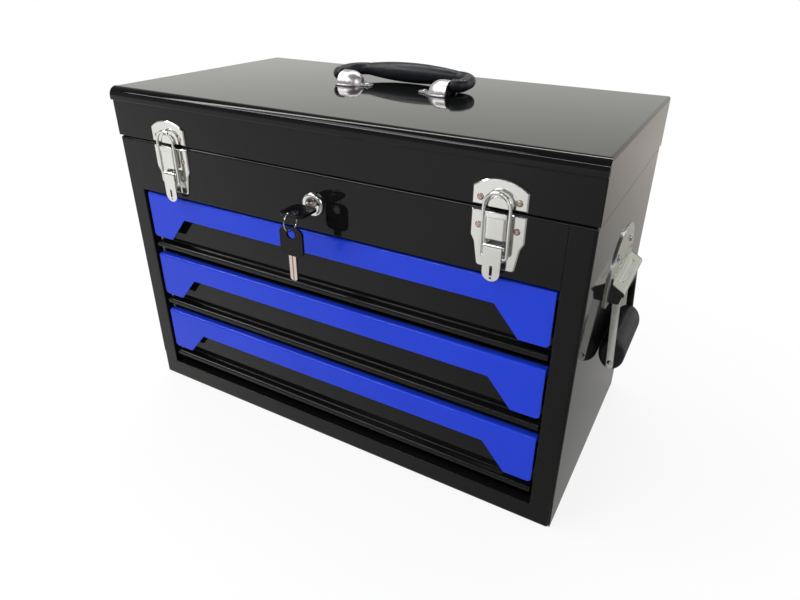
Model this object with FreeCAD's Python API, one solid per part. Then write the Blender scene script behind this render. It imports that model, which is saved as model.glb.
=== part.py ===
import FreeCAD, Part
import math
import os

# Portable sheet steel tool chest: three drawers, a lift-up lid over a top tray, draw latches,
# a cylinder lock with its keys, a folding top handle and a drop handle on each side.
# Millimetres. x runs to the right, y to the rear, z up. The origin is the middle of the base.

V = FreeCAD.Vector
X_AXIS = V(1, 0, 0)
Y_AXIS = V(0, 1, 0)
Z_AXIS = V(0, 0, 1)
SIDES = (("left", -1), ("right", 1))

# Case
case_width = 470.0
case_depth = 245.0
body_height = 283.0
sheet = 0.9
bend = 2.5
edge_round = 0.7
cut_over = 1.0
same_point = 0.001
stile_width = 19.5
stile_return = 10.0
header_height = 52.0
rail_height = 20.0
lug_height = 9.0
top_flange = 9.0
tray_wall = 10.0

# Lid
lid_height = 47.0
lid_gap = 0.8
lid_overhang = 1.0
lid_hem = 6.0
bead_radius = 8.5
bead_stand = 2.0
bead_foot_radius = 1.4
bead_drop = 12.5
seam_round = 1.0

# Rear hinge
hinge_inset = 15.0
hinge_leaf_depth = 20.0
hinge_leaf = 1.0
hinge_knuckle_radius = 2.5
hinge_pin_radius = 1.25
hinge_knuckles = 11
pin_clearance = 0.1
end_clearance = 0.4

# Drawers
drawer_count = 3
drawer_top_gap = 3.0
drawer_between = 8.7
drawer_foot_gap = 10.6
drawer_side_gap = 2.5
drawer_travel = 180.0
fascia_sheet = 0.9
fascia_setback = 2.0
fascia_depth = 9.0
fascia_hook = 10.0
fascia_corner = 4.0
pull_top_drop = 22.0
pull_inset_top = 47.0
pull_inset_bottom = 25.0
lip_drop = 7.0
lip_reach = 8.5
lip_skirt = 5.0
tray_sheet = 0.8
tray_clear_rear = 11.0
tray_top_drop = 4.0
slide_space = 13.5
slide_height = 16.0
slide_clearance = 0.3
slide_rise = 14.0
slide_overlap = 3.0
runner_sheet = 1.0
post_depth = 24.0

# Lock and keys
lock_rise = 25.0
lock_rim_radius = 10.5
lock_stand = 4.0
lock_rim_round = 2.8
lock_barrel_radius = 8.0
lock_barrel_length = 18.0
lock_nut_flats = 22.0
lock_nut_height = 4.0
plug_radius = 5.8
plug_setback = 0.5
cam_sheet = 1.6
cam_length = 22.0
cam_width = 10.0
cam_hub_radius = 7.0
cam_screw_radius = 3.0
cam_screw_height = 2.0
blade_width = 7.2
blade_thickness = 2.0
blade_depth = 18.0
blade_tang = 8.0
blade_clearance = 0.2
bit_depth = 1.1
bit_pitch = 3.4
bit_count = 4
bow_width = 24.0
bow_length = 26.0
bow_thickness = 2.6
bow_corner = 6.0
bow_stand = 4.5
bow_hole_radius = 4.0
bow_hole_inset = 6.2
key_ring_radius = 8.0
key_ring_wire = 0.75
key_ring_drop = 5.18
key_ring_inset = 1.77
spare_hang_gap = 0.65
catch_sheet = 1.2
catch_width = 12.0
catch_side = 13.0
catch_lap = 20.0
catch_clearance = 2.8
catch_gap = 3.6
catch_foot = 10.0

# Draw latches
latch_inset = 70.0
latch_plate = 1.6
latch_width = 42.0
latch_chamfer = 0.9
keeper_shoulder = 14.0
keeper_arch_radius = 35.0
keeper_corner = 1.0
hook_radius = 8.2
hook_stand = 2.1
base_height = 44.5
base_waist = 20.5
base_waist_step = 5.0
base_waist_half = 18.2
base_foot_half = 15.0
base_foot_corner = 3.0
latch_rivet_radius = 2.2
latch_rivet_spread = 29.4
keeper_rivet_rise = 7.0
base_rivet_drop = 13.5
rivet_shank_radius = 1.4
rivet_dome = 0.9
bridge_half = 8.2
bridge_top_drop = 4.5
bridge_height = 16.3
bridge_stand = 6.5
bridge_sheet = 1.0
lever_half = 7.0
lever_sheet = 1.0
lever_length = 26.5
lever_flange = 13.0
lever_curl_radius = 3.2
lever_pivot_stand = 5.2
lever_pivot_drop = 27.0
lever_pin_radius = 1.25
lever_slot_width = 2.2
lever_slot_length = 8.0
lever_slot_rise = 4.5
lever_hole_radius = 0.9
lever_hole_rise = 2.6
ear_gap = 0.3
ear_sheet = 1.0
ear_radius = 2.2
loop_wire = 1.3
loop_half = 10.1
loop_pivot_drop = 8.0
loop_pivot_stand = 5.5
loop_bend = 2.0
loop_arch_rise = 38.8
loop_end_reach = 0.6

# Top handle
handle_span = 136.0
handle_pivot_y = 14.0
handle_pivot_rise = 8.4
handle_reach = 35.0
handle_rod_radius = 3.0
handle_skin_radius = 6.0
handle_grip_radius = 9.6
handle_corner = 18.0
handle_stub_corner = 7.0
handle_rest_gap = 0.5
dome_face = 59.0
dome_straight = 9.0
dome_radius = 13.0
dome_sheet = 1.2
dome_stub_gap = 1.5
dome_rod_reach = 11.0
tongue_end = 26.0
tongue_width = 12.0
tongue_screw_radius = 2.6
tongue_screw_dome = 1.4
dome_foot = 3.0

# Side handles
side_centre_y = 3.5
side_plate_half = 49.0
side_plate_rise = 50.0
side_plate_drop = 8.0
side_plate_sheet = 1.5
side_plate_corner = 43.0
side_plate_foot_corner = 5.0
side_pivot_drop = 93.0
side_pivot_stand = 8.0
side_pin_radius = 2.0
side_arm_sheet = 1.5
side_arm_spread = 77.0
side_arm_half = 3.2
side_arm_length = 66.0
side_arm_lean = 3.8
side_cheek_sheet = 1.5
side_cheek_gap = 0.3
hood_reach = 11.9
hood_rise = 11.8
hood_fall = 6.2
hood_lip = 2.0
hood_flange = 6.0
hood_groove_radius = 4.0
hood_groove_depth = 0.5
hood_groove_inset = 14.0
cheek_drop = 4.0
grip_thickness = 22.4
grip_height = 31.0
grip_drop = 55.8
grip_round = 3.5
side_rivet_radius = 3.2
side_rivet_spread = 50.0
side_rivet_rise = 31.0
side_rivet_dome = 1.6
arm_rivet_radius = 2.2
arm_rivet_dome = 0.8

# Places worked out from the sizes above
half_width = case_width / 2
front = -case_depth / 2
rear = case_depth / 2
inner_side = half_width - sheet
inner_front = front + sheet
inner_rear = rear - sheet
open_half = half_width - stile_width
open_top = body_height - header_height
lid_bottom = body_height + lid_gap
lid_top = body_height + lid_height
lid_half = half_width + lid_overhang
hinge_y = rear + hinge_knuckle_radius
lock_z = open_top + lock_rise
lock_face = front - lock_stand
fascia_front = front + fascia_setback
drawer_half = open_half - drawer_side_gap
drawer_space = open_top - drawer_top_gap - rail_height - drawer_foot_gap
drawer_pitch = (drawer_space + drawer_between) / drawer_count
fascia_height = drawer_pitch - drawer_between - lip_drop - lip_skirt
pull_half_top = drawer_half - pull_inset_top
pull_half_bottom = drawer_half - pull_inset_bottom
hinge_width = case_width - 2 * hinge_inset
latch_x = half_width - latch_inset
side_pivot_z = body_height - side_pivot_drop
panel_face = fascia_front + fascia_depth
tray_half = drawer_half - slide_space
tray_front = panel_face + sheet
tray_rear = rear - tray_clear_rear


def box(x0, x1, y0, y1, z0, z1):
    """Block between two corners."""
    return Part.makeBox(x1 - x0, y1 - y0, z1 - z0, V(x0, y0, z0))


def rod(start, direction, radius, length):
    """Round bar from a start point along a direction."""
    return Part.makeCylinder(radius, length, start, direction)


def join(shapes):
    """One solid from shapes that touch or overlap."""
    whole = shapes[0].fuse(shapes[1:])
    return whole.removeSplitter()


def round_edges(shape, radius, chosen):
    """Round every edge whose bounding box the chosen test accepts."""
    edges = [edge for edge in shape.Edges if chosen(edge.BoundBox)]
    return shape.makeFillet(radius, edges)


def corner_arc(before, corner, after, radius):
    """Start, middle and end of the arc that rounds one corner."""
    to_before = (before - corner).normalize()
    to_after = (after - corner).normalize()
    half = to_before.getAngle(to_after) / 2
    trim = radius / math.tan(half)
    inward = (to_before + to_after).normalize()
    middle = corner + inward * (radius / math.sin(half) - radius)
    return corner + to_before * trim, middle, corner + to_after * trim


def wire_through(points, radii, closed):
    """Wire of straight runs through the points, with each corner rounded by its radius."""
    count = len(points)
    spans = []
    for index, corner in enumerate(points):
        inside = closed or 0 < index < count - 1
        if inside and radii[index] > 0:
            before = points[index - 1]
            after = points[(index + 1) % count]
            spans.append(corner_arc(before, corner, after, radii[index]))
        else:
            spans.append((corner, None, corner))
    edges = []
    for index, (start, middle, end) in enumerate(spans):
        if middle is not None:
            edges.append(Part.Arc(start, middle, end).toShape())
        if index == count - 1 and not closed:
            break
        following = spans[(index + 1) % count][0]
        if (following - end).Length > same_point:
            edges.append(Part.makeLine(end, following))
    return Part.Wire(edges)


def prism(points, direction, radii=None):
    """Solid of a flat outline pushed along a direction."""
    outline = wire_through(points, radii or [0] * len(points), True)
    return Part.Face(outline).extrude(direction)


def in_xy(z, pairs):
    """Points of an outline drawn on a level plane."""
    return [V(x, y, z) for x, y in pairs]


def in_xz(y, pairs):
    """Points of an outline drawn on an upright plane that faces front."""
    return [V(x, y, z) for x, z in pairs]


def in_yz(x, pairs):
    """Points of an outline drawn on an upright plane that faces sideways."""
    return [V(x, y, z) for y, z in pairs]


def folded(path, thickness, radius):
    """Outline of bent sheet: the path is one face and the other lies to its left."""
    far_face = []
    for index, (a, b) in enumerate(path):
        normals = []
        for first, second in ((index - 1, index), (index, index + 1)):
            if first >= 0 and second < len(path):
                da = path[second][0] - path[first][0]
                db = path[second][1] - path[first][1]
                run = math.hypot(da, db)
                normals.append((-db / run, da / run))
        if len(normals) == 2:
            (na, nb), (ma, mb) = normals
            share = thickness / (1 + na * ma + nb * mb)
            turn = na * mb - nb * ma
            far_face.append((a + (na + ma) * share, b + (nb + mb) * share, turn))
        else:
            far_face.append((a + normals[0][0] * thickness, b + normals[0][1] * thickness, 0))
    near_radii = []
    far_radii = []
    for a, b, turn in far_face:
        small = max(radius - thickness, 0)
        near_radii.append(0 if turn == 0 else radius if turn > 0 else small)
        far_radii.append(0 if turn == 0 else small if turn > 0 else radius)
    outline = list(path) + [(a, b) for a, b, turn in reversed(far_face)]
    return outline, near_radii + list(reversed(far_radii))


def folded_along_x(path, thickness, radius, x0, x1):
    """Bent sheet whose section lies in y and z."""
    outline, radii = folded(path, thickness, radius)
    return prism(in_yz(x0, outline), X_AXIS * (x1 - x0), radii)


def folded_along_y(path, thickness, radius, y0, y1):
    """Bent sheet whose section lies in x and z."""
    outline, radii = folded(path, thickness, radius)
    return prism(in_xz(y0, outline), Y_AXIS * (y1 - y0), radii)


def bent_rod(points, radii, radius):
    """Round bar along straight runs with rounded corners."""
    spine = wire_through(points, radii, False)
    start = points[0]
    section = Part.makeCircle(radius, start, points[1] - start)
    return spine.makePipeShell([Part.Wire(section)], True, False)


def turned(profile, axis_point, axis, radii=None):
    """Full revolve of a flat outline."""
    outline = wire_through(profile, radii or [0] * len(profile), True)
    return Part.Face(outline).revolve(axis_point, axis, 360)


def mirrored(shape):
    """The same piece on the other side of the chest."""
    return shape.mirror(V(0, 0, 0), X_AXIS)


def on_side(shape, sign):
    """A right-hand piece as it is, or its mirror image for the left."""
    return shape if sign > 0 else mirrored(shape)


def save(name, solids):
    """Write one named sub-part of one or more separate solids."""
    shape = solids[0] if len(solids) == 1 else Part.makeCompound(solids)
    shape.exportStep(os.path.join("parts", name + ".step"))


def upright(bounds):
    """True for the bounding box of an upright edge."""
    return bounds.ZLength > max(bounds.XLength, bounds.YLength)


def case_skin():
    """Wrapper of the case with every outer bend, open below and above."""
    outer = box(-half_width, half_width, front, rear, 0, body_height)
    outer = round_edges(outer, bend, lambda b: upright(b) or b.ZMin > body_height / 2)
    inner = box(-inner_side, inner_side, inner_front, inner_rear, -sheet, body_height - sheet)
    inner = round_edges(inner, bend - sheet, lambda b: upright(b) or b.ZMin > body_height / 2)
    mouth = box(-half_width + top_flange, half_width - top_flange, front + top_flange,
                rear - top_flange, body_height / 2, body_height + cut_over)
    return outer.cut(inner).cut(mouth)


def side_panel(skin):
    """Right side with its front stile, the stile's return and its rear flange."""
    panel = skin.common(box(open_half, half_width, front, rear, 0, body_height))
    foot = box(open_half, half_width, front, front + bend, 0, rail_height + lug_height)
    inner_edge = box(open_half, open_half + sheet, front, front + stile_return,
                     rail_height + lug_height, open_top)
    panel = join([panel.cut(foot), inner_edge])
    return round_edges(panel, edge_round, lambda b: (
        upright(b) and b.ZLength > header_height and b.XMax < open_half + same_point
        and b.YMax < front + same_point))


def front_header(skin):
    """Band above the drawers, turned back under the top tray, with the lock's hole."""
    band = skin.common(box(-open_half, open_half, front, front + top_flange, open_top, body_height))
    shelf = box(-open_half, open_half, front, front + stile_return, open_top, open_top + sheet)
    band = round_edges(join([band, shelf]), edge_round, lambda b: (
        b.XLength > open_half and b.ZMax < open_top + same_point and b.YMax < front + same_point))
    hole = rod(V(0, front - cut_over, lock_z), Y_AXIS, lock_barrel_radius + slide_clearance,
               bend + 2 * cut_over)
    return band.cut(hole)


def base_pan():
    """Floor pan whose front wall is the bottom rail, with a lug up each stile."""
    wall = rail_height + lug_height
    outer = box(-inner_side, inner_side, front, inner_rear, 0, wall)
    outer = round_edges(outer, bend, lambda b: upright(b) or b.ZMax < sheet)
    inner = box(-inner_side + sheet, inner_side - sheet, inner_front, inner_rear - sheet,
                sheet, wall + cut_over)
    inner = round_edges(inner, bend - sheet, lambda b: upright(b) or b.ZMax < 2 * sheet)
    pan = outer.cut(inner)
    pan = pan.cut(box(-half_width, half_width, front + bend, rear, rail_height, wall + cut_over))
    pan = pan.cut(box(-open_half, open_half, front - cut_over, rear, rail_height, wall + cut_over))
    shelf = box(-open_half, open_half, front, front + stile_return,
                rail_height - sheet, rail_height)
    return round_edges(join([pan, shelf]), edge_round, lambda b: (
        open_half < b.XLength < case_width - 2 * bend and b.YMax < front + same_point
        and b.ZMin > rail_height - same_point))


def tray_floor():
    """Floor of the top tray with low turned-up walls."""
    low = open_top + sheet
    outer = box(-inner_side, inner_side, inner_front, inner_rear, low, low + tray_wall)
    outer = round_edges(outer, bend, lambda b: upright(b) or b.ZMax < low + sheet)
    inner = box(-inner_side + sheet, inner_side - sheet, inner_front + sheet, inner_rear - sheet,
                low + sheet, low + tray_wall + cut_over)
    inner = round_edges(inner, bend - sheet, lambda b: upright(b) or b.ZMax < low + 2 * sheet)
    return outer.cut(inner)


def drawer_places():
    """Name and top height of each drawer, from the top one down."""
    top = open_top - drawer_top_gap
    return [("drawer_%d" % (index + 1), top - index * drawer_pitch) for index in range(drawer_count)]


def floor_of(top):
    """Height of a drawer's floor under its top edge."""
    return top - fascia_height - lip_drop


def runner_posts():
    """Upright channels that carry the fixed runners, two on each side."""
    height = open_top + sheet - rail_height
    inner_face = drawer_half + slide_clearance + runner_sheet
    posts = []
    for start in (front + stile_return, inner_rear - bend - post_depth):
        path = [(inner_side, start), (inner_face, start), (inner_face, start + post_depth),
                (inner_side, start + post_depth)]
        outline, radii = folded(list(reversed(path)), runner_sheet, bend)
        posts.append(prism(in_xy(rail_height, outline), Z_AXIS * height, radii))
    return posts


def runners():
    """Fixed channel of every drawer, open towards the drawer."""
    face = drawer_half + slide_clearance
    mouth = tray_half + slide_overlap
    half = slide_height / 2 + slide_clearance + runner_sheet
    channels = []
    for name, top in drawer_places():
        middle = floor_of(top) + slide_rise
        path = [(mouth, middle - half), (face + runner_sheet, middle - half),
                (face + runner_sheet, middle + half), (mouth, middle + half)]
        channels.append(folded_along_y(path, runner_sheet, bend, tray_front + slide_clearance,
                                       inner_rear - sheet))
    return channels


def drawer_slides(top):
    """Channel riveted to a drawer's side, which runs inside the fixed one."""
    middle = floor_of(top) + slide_rise
    half = slide_height / 2
    path = [(drawer_half - slide_clearance, middle - half), (tray_half, middle - half),
            (tray_half, middle + half), (drawer_half - slide_clearance, middle + half)]
    return folded_along_y(list(reversed(path)), runner_sheet, bend, tray_front, tray_rear)


def drawer_tray(top):
    """Open box of a drawer."""
    low = floor_of(top)
    high = top - tray_top_drop
    outer = box(-tray_half, tray_half, tray_front, tray_rear, low, high)
    outer = round_edges(outer, bend, lambda b: upright(b) or b.ZMax < low + sheet)
    inner = box(-tray_half + tray_sheet, tray_half - tray_sheet, tray_front + tray_sheet,
                tray_rear - tray_sheet, low + tray_sheet, high + cut_over)
    inner = round_edges(inner, bend - tray_sheet,
                        lambda b: upright(b) or b.ZMax < low + 2 * tray_sheet)
    return outer.cut(inner)


def drawer_front(top):
    """Black front sheet with the lip along its foot."""
    lip = floor_of(top)
    path = [(panel_face, top), (panel_face, lip), (panel_face - lip_reach, lip),
            (panel_face - lip_reach, lip - lip_skirt)]
    return folded_along_x(path, sheet, bend, -drawer_half, drawer_half)


def drawer_fascia(top):
    """Coloured front with its hook over the front sheet and the finger pull cut out of it."""
    low = top - fascia_height
    path = [(fascia_front, low), (fascia_front, top), (panel_face, top),
            (panel_face, top - fascia_hook)]
    outline, radii = folded(list(reversed(path)), fascia_sheet, bend)
    shell = prism(in_yz(-drawer_half, outline), X_AXIS * (2 * drawer_half), radii)
    shape = in_xz(fascia_front - cut_over, [
        (-drawer_half, low), (-pull_half_bottom, low), (-pull_half_top, top - pull_top_drop),
        (pull_half_top, top - pull_top_drop), (pull_half_bottom, low), (drawer_half, low),
        (drawer_half, top), (-drawer_half, top)])
    rounding = [fascia_corner, 0, 0, 0, 0, fascia_corner, 0, 0]
    return shell.common(prism(shape, Y_AXIS * (fascia_depth + 2 * cut_over), rounding))


def lid_profile(inset):
    """Outline in y and z of the rolled front edge, inset by a sheet thickness."""
    nose = front - bead_stand + inset
    foot = lid_top - bead_drop + inset
    crown = lid_top - inset
    seat = lid_top - bead_radius
    swing = bead_radius - inset
    back = front - bead_stand + bead_radius
    diagonal = swing * math.sqrt(2) / 2
    centre = V(0, back, seat)
    arc = Part.Arc(V(0, back, crown), centre + V(0, -diagonal, diagonal), V(0, nose, seat))
    foot_radius = max(bead_foot_radius - inset, bead_foot_radius / 4)
    foot_start, foot_middle, foot_end = corner_arc(
        V(0, nose, seat), V(0, nose, foot), V(0, back, foot), foot_radius)
    edges = [arc.toShape(), Part.makeLine(V(0, nose, seat), foot_start),
             Part.Arc(foot_start, foot_middle, foot_end).toShape(),
             Part.makeLine(foot_end, V(0, back, foot)),
             Part.makeLine(V(0, back, foot), V(0, back, crown))]
    return Part.Face(Part.Wire(edges))


def lid_shell():
    """Pressed lid with a rolled front edge, deep skirts and a turned-in hem."""
    block = box(-lid_half, lid_half, front, rear, lid_bottom, lid_top)
    block = round_edges(block, bend, lambda b: (
        (b.ZMin > lid_bottom + same_point and b.YMax > front + same_point)
        or (upright(b) and b.YMin > 0)))
    block = round_edges(block, edge_round, lambda b: upright(b) and b.YMax < front + sheet)
    bead_back = front - bead_stand + bead_radius
    foot = lid_top - bead_drop
    corner = box(-lid_half, lid_half, front - cut_over, bead_back, foot, lid_top + cut_over)
    bead = lid_profile(0).extrude(X_AXIS * (2 * lid_half))
    bead.translate(V(-lid_half, 0, 0))
    shell = join([block.cut(corner), bead])
    shell = round_edges(shell, edge_round, lambda b: b.ZMax < lid_bottom + same_point)
    hollow = box(-lid_half + sheet, lid_half - sheet, inner_front, inner_rear,
                 lid_bottom + sheet, lid_top - sheet)
    hollow = round_edges(hollow, bend - sheet, lambda b: upright(b) or b.ZMin > lid_bottom + 2 * sheet)
    inner_corner = box(-lid_half, lid_half, front, bead_back, foot + sheet, lid_top)
    bead_hollow = lid_profile(sheet).extrude(X_AXIS * (2 * (lid_half - sheet)))
    bead_hollow.translate(V(-lid_half + sheet, 0, 0))
    open_end = lid_profile(sheet).extrude(X_AXIS * (2 * lid_half))
    open_end.translate(V(-lid_half, 0, 0))
    open_end = open_end.common(box(-lid_half, lid_half, front - bead_stand, inner_front,
                                   foot, lid_top))
    mouth = box(-lid_half + lid_hem, lid_half - lid_hem, front + lid_hem, rear - lid_hem,
                lid_bottom - cut_over, lid_bottom + 2 * sheet)
    shell = shell.cut(hollow.cut(inner_corner)).cut(bead_hollow).cut(open_end)
    return shell.cut(mouth)


def hinge_leaf_with(knuckles, direction):
    """Leaf and knuckles of the rear hinge; direction is 1 for the lid and -1 for the case."""
    step = hinge_width / hinge_knuckles
    away = hinge_knuckle_radius + end_clearance
    near = body_height + direction * away
    far = body_height + direction * (away + hinge_leaf_depth)
    pieces = [box(-hinge_width / 2, hinge_width / 2, rear, rear + hinge_leaf,
                  min(near, far), max(near, far))]
    bores = []
    for index in knuckles:
        x0 = -hinge_width / 2 + index * step + end_clearance / 2
        length = step - end_clearance
        start = V(x0, hinge_y, body_height)
        pieces.append(rod(start, X_AXIS, hinge_knuckle_radius, length))
        pieces.append(box(x0, x0 + length, rear, rear + hinge_leaf,
                          min(near, body_height), max(near, body_height)))
        bores.append(rod(start - X_AXIS * cut_over, X_AXIS, hinge_pin_radius + pin_clearance,
                         length + 2 * cut_over))
    leaf = join(pieces)
    return leaf.cut(Part.makeCompound(bores))


def rivet(point, direction, head_radius, dome, shank):
    """Domed head standing along a direction, with its shank going the other way."""
    crown = (head_radius ** 2 + dome ** 2) / (2 * dome)
    ball = Part.makeSphere(crown, point + direction * (dome - crown))
    cap = ball.common(rod(point, direction, head_radius, dome))
    return join([cap, rod(point - direction * shank, direction, rivet_shank_radius, shank)])


def latch_centres():
    """Middle of each draw latch across the front."""
    return [(name, sign * latch_x) for name, sign in SIDES]


def bevelled_plate(outline, radii, thickness):
    """Front plate of a latch with its outer edges bevelled."""
    plate = prism(in_xz(front, outline), Y_AXIS * -thickness, radii)
    face = front - thickness
    return plate.makeChamfer(latch_chamfer, [
        edge for edge in plate.Edges if edge.BoundBox.YMax < face + same_point])


def rivet_holes(centres):
    """Clearance holes for rivet shanks through a front plate."""
    return Part.makeCompound([
        rod(V(x, front + bend, z), Y_AXIS * -1, rivet_shank_radius + pin_clearance, 2 * bend)
        for x, z in centres])


def keeper_rivet_places(x):
    """Rivet centres of a latch keeper."""
    return [(x + sign * latch_rivet_spread / 2, lid_bottom + keeper_rivet_rise)
            for name, sign in SIDES]


def base_rivet_places(x):
    """Rivet centres of a latch base."""
    return [(x + sign * latch_rivet_spread / 2, body_height - base_rivet_drop)
            for name, sign in SIDES]


def latch_keeper(x):
    """Arched plate on the lid with the raised hook that the loop pulls on."""
    low = lid_bottom + seam_round
    half = latch_width / 2
    shoulder = low + keeper_shoulder
    lean = math.asin(half / keeper_arch_radius)
    outline = [(x - half, low), (x + half, low), (x + half, shoulder),
               (x, shoulder + half * math.tan(lean)), (x - half, shoulder)]
    radii = [0, 0, 0, keeper_arch_radius - keeper_corner, 0]
    plate = bevelled_plate(outline, radii, latch_plate)
    hook_low = low + edge_round
    drum = rod(V(x, front - latch_plate, hook_low), Y_AXIS * -1, hook_radius, hook_stand)
    hook = drum.common(box(x - hook_radius, x + hook_radius, front - latch_plate - hook_stand,
                           front - latch_plate, hook_low, hook_low + hook_radius))
    hook = round_edges(hook, edge_round, lambda b: (
        b.YMax < front - latch_plate - hook_stand + same_point and b.ZLength > edge_round))
    return join([plate, hook]).cut(rivet_holes(keeper_rivet_places(x)))


def latch_base(x):
    """Tapered plate on the case with the bridge and the ears that carry the lever."""
    top = body_height - seam_round - edge_round
    foot = top - base_height
    half = latch_width / 2
    waist = top - base_waist
    outline = [(x - base_foot_half, foot), (x + base_foot_half, foot),
               (x + base_waist_half, waist - base_waist_step), (x + half, waist), (x + half, top),
               (x - half, top), (x - half, waist), (x - base_waist_half, waist - base_waist_step)]
    radii = [base_foot_corner, base_foot_corner, base_waist_step, base_foot_corner, 0, 0,
             base_foot_corner, base_waist_step]
    plate = bevelled_plate(outline, radii, latch_plate)
    face = front - latch_plate
    bridge_top = body_height - bridge_top_drop
    path = [(x - bridge_half, face), (x - bridge_half, front - bridge_stand),
            (x + bridge_half, front - bridge_stand), (x + bridge_half, face)]
    section, rounding = folded(path, bridge_sheet, bend)
    bridge = prism(in_xy(bridge_top - bridge_height, section), Z_AXIS * bridge_height, rounding)
    pivot_z = body_height - lever_pivot_drop
    pieces = [plate, bridge]
    for name, sign in SIDES:
        inner = x + sign * (lever_half + ear_gap)
        outer = x + sign * (lever_half + ear_gap + ear_sheet)
        x0 = min(inner, outer)
        stem = box(x0, x0 + ear_sheet, front - lever_pivot_stand, face,
                   pivot_z - ear_radius, pivot_z + ear_radius)
        eye = rod(V(x0, front - lever_pivot_stand, pivot_z), X_AXIS, ear_radius, ear_sheet)
        pieces.append(join([stem, eye]))
    base = join(pieces).cut(rivet_holes(base_rivet_places(x)))
    pin_hole = rod(V(x - half, front - lever_pivot_stand, pivot_z), X_AXIS,
                   lever_pin_radius + pin_clearance / 2, latch_width)
    return base.cut(pin_hole)


def latch_pin(x):
    """Pivot pin of a lever, headed outside each ear."""
    half = lever_half + ear_gap + ear_sheet
    return rod(V(x - half, front - lever_pivot_stand, body_height - lever_pivot_drop), X_AXIS,
               lever_pin_radius, 2 * half)


def latch_lever(x):
    """Pressed lever: curled top round its pin, side flanges, slotted round tongue."""
    pivot_y = front - lever_pivot_stand
    pivot_z = body_height - lever_pivot_drop
    face_y = pivot_y - lever_curl_radius
    tip = pivot_z - lever_length
    curl_inner = lever_curl_radius - lever_sheet
    curl = rod(V(x - lever_half, pivot_y, pivot_z), X_AXIS, lever_curl_radius, 2 * lever_half)
    curl = curl.cut(rod(V(x - lever_half, pivot_y, pivot_z), X_AXIS, curl_inner, 2 * lever_half))
    curl = curl.common(box(x - lever_half, x + lever_half, face_y, pivot_y,
                           pivot_z, pivot_z + lever_curl_radius))
    plate = box(x - lever_half, x + lever_half, face_y, face_y + lever_sheet, tip, pivot_z)
    outline = [(x - lever_half, tip), (x + lever_half, tip),
               (x + lever_half, pivot_z), (x - lever_half, pivot_z)]
    tongue = lever_half - same_point
    plate = plate.common(prism(in_xz(face_y, outline), Y_AXIS * lever_sheet, [tongue, tongue, 0, 0]))
    slot_low = tip + lever_slot_rise
    slot = box(x - lever_slot_width / 2, x + lever_slot_width / 2, face_y - cut_over, pivot_y,
               slot_low, slot_low + lever_slot_length)
    hole = rod(V(x, face_y - cut_over, tip + lever_hole_rise), Y_AXIS, lever_hole_radius,
               lever_curl_radius)
    pieces = [curl, plate.cut(slot).cut(hole)]
    back = pivot_y + lever_curl_radius - lever_sheet
    loop_y = front - loop_pivot_stand
    loop_z = pivot_z - loop_pivot_drop
    for name, sign in SIDES:
        outer = x + sign * lever_half
        inner = x + sign * (lever_half - lever_sheet)
        x0 = min(inner, outer)
        cheek = join([
            prism(in_yz(x0, [(face_y, pivot_z - lever_flange), (back, pivot_z - lever_flange / 2),
                             (back, pivot_z), (face_y, pivot_z)]), X_AXIS * lever_sheet),
            rod(V(x0, pivot_y, pivot_z), X_AXIS, lever_curl_radius, lever_sheet)])
        pieces.append(cheek)
    lever = join(pieces)
    pin_bore = rod(V(x - latch_width, pivot_y, pivot_z), X_AXIS,
                   lever_pin_radius + pin_clearance, 2 * latch_width)
    loop_bore = rod(V(x - latch_width, loop_y, loop_z), X_AXIS,
                    loop_wire + pin_clearance, 2 * latch_width)
    return lever.cut(pin_bore).cut(loop_bore)


def latch_loop(x):
    """Wire loop pivoted on the lever and lying over the keeper's hook."""
    loop_y = front - loop_pivot_stand
    low = body_height - lever_pivot_drop - loop_pivot_drop
    arch = low + loop_arch_rise
    end = lever_half - lever_sheet - loop_end_reach
    crown = arch + loop_half
    points = in_xz(loop_y, [(x - end, low), (x - loop_half, low), (x - loop_half, crown),
                            (x + loop_half, crown), (x + loop_half, low), (x + end, low)])
    arch_radius = loop_half - same_point
    return bent_rod(points, [0, loop_bend, arch_radius, arch_radius, loop_bend, 0], loop_wire)


def lock_barrel():
    """Rounded rim on the face of the case and the barrel through it."""
    rim = rod(V(0, lock_face, lock_z), Y_AXIS, lock_rim_radius, lock_stand)
    rim = round_edges(rim, lock_rim_round, lambda b: b.YMax < lock_face + same_point)
    barrel = rod(V(0, front, lock_z), Y_AXIS, lock_barrel_radius, lock_barrel_length)
    bore = rod(V(0, lock_face - cut_over, lock_z), Y_AXIS, plug_radius + pin_clearance,
               lock_stand + lock_barrel_length + 2 * cut_over)
    return join([rim, barrel]).cut(bore)


def lock_nut():
    """Six-sided nut that clamps the barrel to the case."""
    corner = lock_nut_flats / 2 / math.cos(math.pi / 6)
    outline = [(corner * math.cos(k * math.pi / 3), lock_z + corner * math.sin(k * math.pi / 3))
               for k in range(6)]
    nut = prism(in_xz(inner_front, outline), Y_AXIS * lock_nut_height)
    bore = rod(V(0, inner_front - cut_over, lock_z), Y_AXIS,
               lock_barrel_radius + pin_clearance / 2, lock_nut_height + 2 * cut_over)
    return nut.cut(bore)


def plug_face():
    """Front face of the lock's turning plug."""
    return lock_face + plug_setback


def cam_front():
    """Front face of the lock's cam, just behind the barrel."""
    return front + lock_barrel_length + slide_clearance


def lock_plug():
    """Turning plug with the slot for the key's blade."""
    length = cam_front() - plug_face()
    plug = rod(V(0, plug_face(), lock_z), Y_AXIS, plug_radius, length)
    half = blade_width / 2 + blade_clearance
    thin = blade_thickness / 2 + blade_clearance
    slot = box(-half, half, plug_face() - cut_over, plug_face() + blade_depth + 2 * blade_clearance,
               lock_z - thin, lock_z + thin)
    return plug.cut(slot)


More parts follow.
